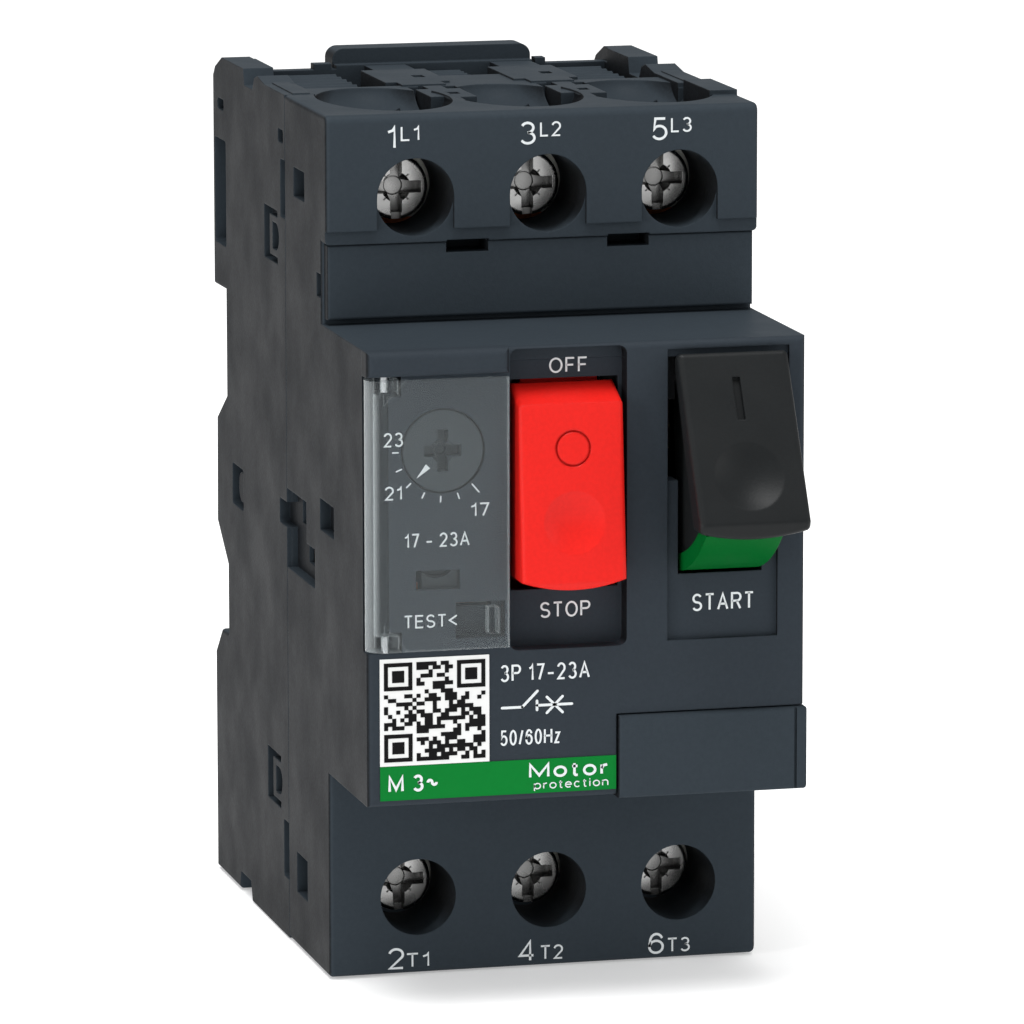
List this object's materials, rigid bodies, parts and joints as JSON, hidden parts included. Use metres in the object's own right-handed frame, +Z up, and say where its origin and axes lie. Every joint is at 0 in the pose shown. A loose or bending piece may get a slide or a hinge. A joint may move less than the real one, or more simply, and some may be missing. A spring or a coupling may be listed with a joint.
{
  "type": "motor protection breaker",
  "caption": "Pole-by-pole motor protection breaker with rocking start and stop buttons, a windowed trip dial, screw terminals and a rail foot.",
  "frame": {"origin": "centre of the seat for the 35 mm mounting rail, on the seat plane", "axes": "+Z up towards the supply terminals, +Y back into the rail, -Y towards the operator"},
  "size_m": [0.045, 0.0817, 0.0883],
  "materials": {
    "case_grey": "fine moulded texture",
    "label_white": "printed film",
    "label_green": "printed film",
    "start_black": "satin moulded",
    "start_green": "satin moulded",
    "stop_red": "satin moulded",
    "pin_steel": "ground",
    "zinc_steel": "zinc plated",
    "dial_grey": "satin moulded",
    "inner_plastic": "glass filled",
    "window_smoke": "clear smoke polycarbonate",
    "spring_steel": "drawn wire",
    "latch_plastic": "moulded",
    "bimetal": "rolled strip",
    "copper": "copper, part silvered",
    "screw_nickel": "nickel plated"
  },
  "bodies": {
    "case": {"rear_housing": "case_grey", "front_housing": "case_grey", "front_fascia": "case_grey", "code_label": "label_white", "band_label": "label_green", "pivot_pins": "pin_steel", "mechanism_frame": "latch_plastic", "cover_pins": "pin_steel", "latch_spring": "spring_steel", "magnet_cores": "zinc_steel", "arc_chutes": "zinc_steel", "bimetal_strips": "bimetal", "heater_windings": "copper", "line_conductor_1": "copper", "load_conductor_1": "copper", "load_contact_1": "copper", "magnet_coil_1": "copper", "line_conductor_2": "copper", "load_conductor_2": "copper", "load_contact_2": "copper", "magnet_coil_2": "copper", "line_conductor_3": "copper", "load_conductor_3": "copper", "load_contact_3": "copper", "magnet_coil_3": "copper"},
    "start": {"start_button": "start_black", "start_flag": "start_green"},
    "stop": {"stop_button": "stop_red"},
    "window": {"transparent_cover": "window_smoke"},
    "dial": {"setting_dial": "dial_grey"},
    "compensation": {"compensation_lever": "inner_plastic"},
    "test": {"test_slider": "dial_grey"},
    "trip": {"trip_slide": "inner_plastic"},
    "latch": {"latch_lever": "zinc_steel"},
    "link": {"toggle_link": "zinc_steel"},
    "carrier": {"contact_carrier": "inner_plastic", "contact_springs": "spring_steel", "moving_bridge_1": "copper", "moving_bridge_2": "copper", "moving_bridge_3": "copper"},
    "strip": {"marker_strip": "case_grey"},
    "aux_cover": {"aux_blanking_cover": "case_grey"},
    "rail_catch": {"rail_latch": "latch_plastic"},
    "plunger_1": {"plunger_1": "pin_steel"},
    "line_clamp_1": {"line_washer_1": "zinc_steel"},
    "line_screw_1": {"line_screw_1": "screw_nickel"},
    "load_clamp_1": {"load_washer_1": "zinc_steel"},
    "load_screw_1": {"load_screw_1": "screw_nickel"},
    "plunger_2": {"plunger_2": "pin_steel"},
    "line_clamp_2": {"line_washer_2": "zinc_steel"},
    "line_screw_2": {"line_screw_2": "screw_nickel"},
    "load_clamp_2": {"load_washer_2": "zinc_steel"},
    "load_screw_2": {"load_screw_2": "screw_nickel"},
    "plunger_3": {"plunger_3": "pin_steel"},
    "line_clamp_3": {"line_washer_3": "zinc_steel"},
    "line_screw_3": {"line_screw_3": "screw_nickel"},
    "load_clamp_3": {"load_washer_3": "zinc_steel"},
    "load_screw_3": {"load_screw_3": "screw_nickel"}
  },
  "joints": [
    {"name": "start_press", "type": "hinge", "parent": "case", "child": "start", "pos_m": [0.01425, -0.0603, 0.01715], "axis": [1, 0, 0], "range_deg": [0, 20]},
    {"name": "contact_travel", "type": "slide", "parent": "case", "child": "carrier", "axis": [0, 1, 0], "range_m": [0, 0.0027]},
    {"name": "link_swing", "type": "hinge", "parent": "case", "child": "link", "pos_m": [0.01335, -0.0311, 0.01665], "axis": [1, 0, 0], "range_deg": [0, 18]},
    {"name": "stop_press", "type": "hinge", "parent": "case", "child": "stop", "pos_m": [-0.00195, -0.0594, 0.01665], "axis": [1, 0, 0], "range_deg": [0, 6], "stiffness_Nm_per_rad": 0.02, "springref_deg": -5.73},
    {"name": "latch_release", "type": "hinge", "parent": "case", "child": "latch", "pos_m": [-0.00095, -0.0419, 0.01215], "axis": [1, 0, 0], "range_deg": [0, 5]},
    {"name": "window_swing", "type": "hinge", "parent": "case", "child": "window", "pos_m": [-0.0204, -0.0647, 0.00535], "axis": [0, 0, -1], "range_deg": [0, 95]},
    {"name": "dial_turn", "type": "hinge", "parent": "case", "child": "dial", "pos_m": [-0.0146, -0.0649, 0.0115], "axis": [0, -1, 0], "range_deg": [-45, 85.5]},
    {"name": "compensation_swing", "type": "hinge", "parent": "case", "child": "compensation", "pos_m": [-0.01465, -0.0549, 0.00535], "axis": [1, 0, 0], "range_deg": [-3.6, 2]},
    {"name": "test_slide", "type": "slide", "parent": "case", "child": "test", "axis": [-1, 0, 0], "range_m": [0, 0.0018], "stiffness_N_per_m": 150, "springref_m": -0.001},
    {"name": "trip_travel", "type": "slide", "parent": "case", "child": "trip", "axis": [-1, 0, 0], "range_m": [0, 0.0018]},
    {"name": "marker_strip_pull", "type": "slide", "parent": "case", "child": "strip", "axis": [0, -1, 0], "range_m": [0, 0.008]},
    {"name": "aux_cover_pull", "type": "slide", "parent": "case", "child": "aux_cover", "axis": [0, -1, 0], "range_m": [0, 0.012]},
    {"name": "rail_catch_slide", "type": "slide", "parent": "case", "child": "rail_catch", "axis": [0, 0, -1], "range_m": [0, 0.0022], "stiffness_N_per_m": 600, "springref_m": -0.002, "deforming": ["latch_spring"]},
    {"name": "plunger_1_strike", "type": "slide", "parent": "case", "child": "plunger_1", "axis": [0, -1, 0], "range_m": [0, 0.002], "stiffness_N_per_m": 120, "springref_m": -0.001},
    {"name": "line_clamp_1_travel", "type": "slide", "parent": "case", "child": "line_clamp_1", "axis": [0, 1, 0], "range_m": [0, 0.00175]},
    {"name": "line_screw_1_turn", "type": "hinge", "parent": "line_clamp_1", "child": "line_screw_1", "pos_m": [-0.0131, -0.0379, 0.03415], "axis": [0, 1, 0], "range_deg": [0, 900]},
    {"name": "load_clamp_1_travel", "type": "slide", "parent": "case", "child": "load_clamp_1", "axis": [0, 1, 0], "range_m": [0, 0.00175]},
    {"name": "load_screw_1_turn", "type": "hinge", "parent": "load_clamp_1", "child": "load_screw_1", "pos_m": [-0.0131, -0.0379, -0.03695], "axis": [0, 1, 0], "range_deg": [0, 900]},
    {"name": "plunger_2_strike", "type": "slide", "parent": "case", "child": "plunger_2", "axis": [0, -1, 0], "range_m": [0, 0.002], "stiffness_N_per_m": 120, "springref_m": -0.001},
    {"name": "line_clamp_2_travel", "type": "slide", "parent": "case", "child": "line_clamp_2", "axis": [0, 1, 0], "range_m": [0, 0.00175]},
    {"name": "line_screw_2_turn", "type": "hinge", "parent": "line_clamp_2", "child": "line_screw_2", "pos_m": [0.0005, -0.0379, 0.03415], "axis": [0, 1, 0], "range_deg": [0, 900]},
    {"name": "load_clamp_2_travel", "type": "slide", "parent": "case", "child": "load_clamp_2", "axis": [0, 1, 0], "range_m": [0, 0.00175]},
    {"name": "load_screw_2_turn", "type": "hinge", "parent": "load_clamp_2", "child": "load_screw_2", "pos_m": [0.0005, -0.0379, -0.03695], "axis": [0, 1, 0], "range_deg": [0, 900]},
    {"name": "plunger_3_strike", "type": "slide", "parent": "case", "child": "plunger_3", "axis": [0, -1, 0], "range_m": [0, 0.002], "stiffness_N_per_m": 120, "springref_m": -0.001},
    {"name": "line_clamp_3_travel", "type": "slide", "parent": "case", "child": "line_clamp_3", "axis": [0, 1, 0], "range_m": [0, 0.00175]},
    {"name": "line_screw_3_turn", "type": "hinge", "parent": "line_clamp_3", "child": "line_screw_3", "pos_m": [0.0141, -0.0379, 0.03415], "axis": [0, 1, 0], "range_deg": [0, 900]},
    {"name": "load_clamp_3_travel", "type": "slide", "parent": "case", "child": "load_clamp_3", "axis": [0, 1, 0], "range_m": [0, 0.00175]},
    {"name": "load_screw_3_turn", "type": "hinge", "parent": "load_clamp_3", "child": "load_screw_3", "pos_m": [0.0141, -0.0379, -0.03695], "axis": [0, 1, 0], "range_deg": [0, 900]}
  ],
  "couplings": [
    {"joint": "start_press", "follows": "contact_travel", "rad_per_m": 129.28},
    {"joint": "link_swing", "follows": "contact_travel", "rad_per_m": 116.36},
    {"joint": "latch_release", "follows": "stop_press", "ratio": 0.8},
    {"joint": "compensation_swing", "follows": "dial_turn", "ratio": -0.04},
    {"joint": "trip_travel", "follows": "test_slide", "ratio": 1},
    {"joint": "line_screw_1_turn", "follows": "line_clamp_1_travel", "rad_per_m": 8976},
    {"joint": "load_screw_1_turn", "follows": "load_clamp_1_travel", "rad_per_m": 8976},
    {"joint": "line_screw_2_turn", "follows": "line_clamp_2_travel", "rad_per_m": 8976},
    {"joint": "load_screw_2_turn", "follows": "load_clamp_2_travel", "rad_per_m": 8976},
    {"joint": "line_screw_3_turn", "follows": "line_clamp_3_travel", "rad_per_m": 8976},
    {"joint": "load_screw_3_turn", "follows": "load_clamp_3_travel", "rad_per_m": 8976}
  ]
}
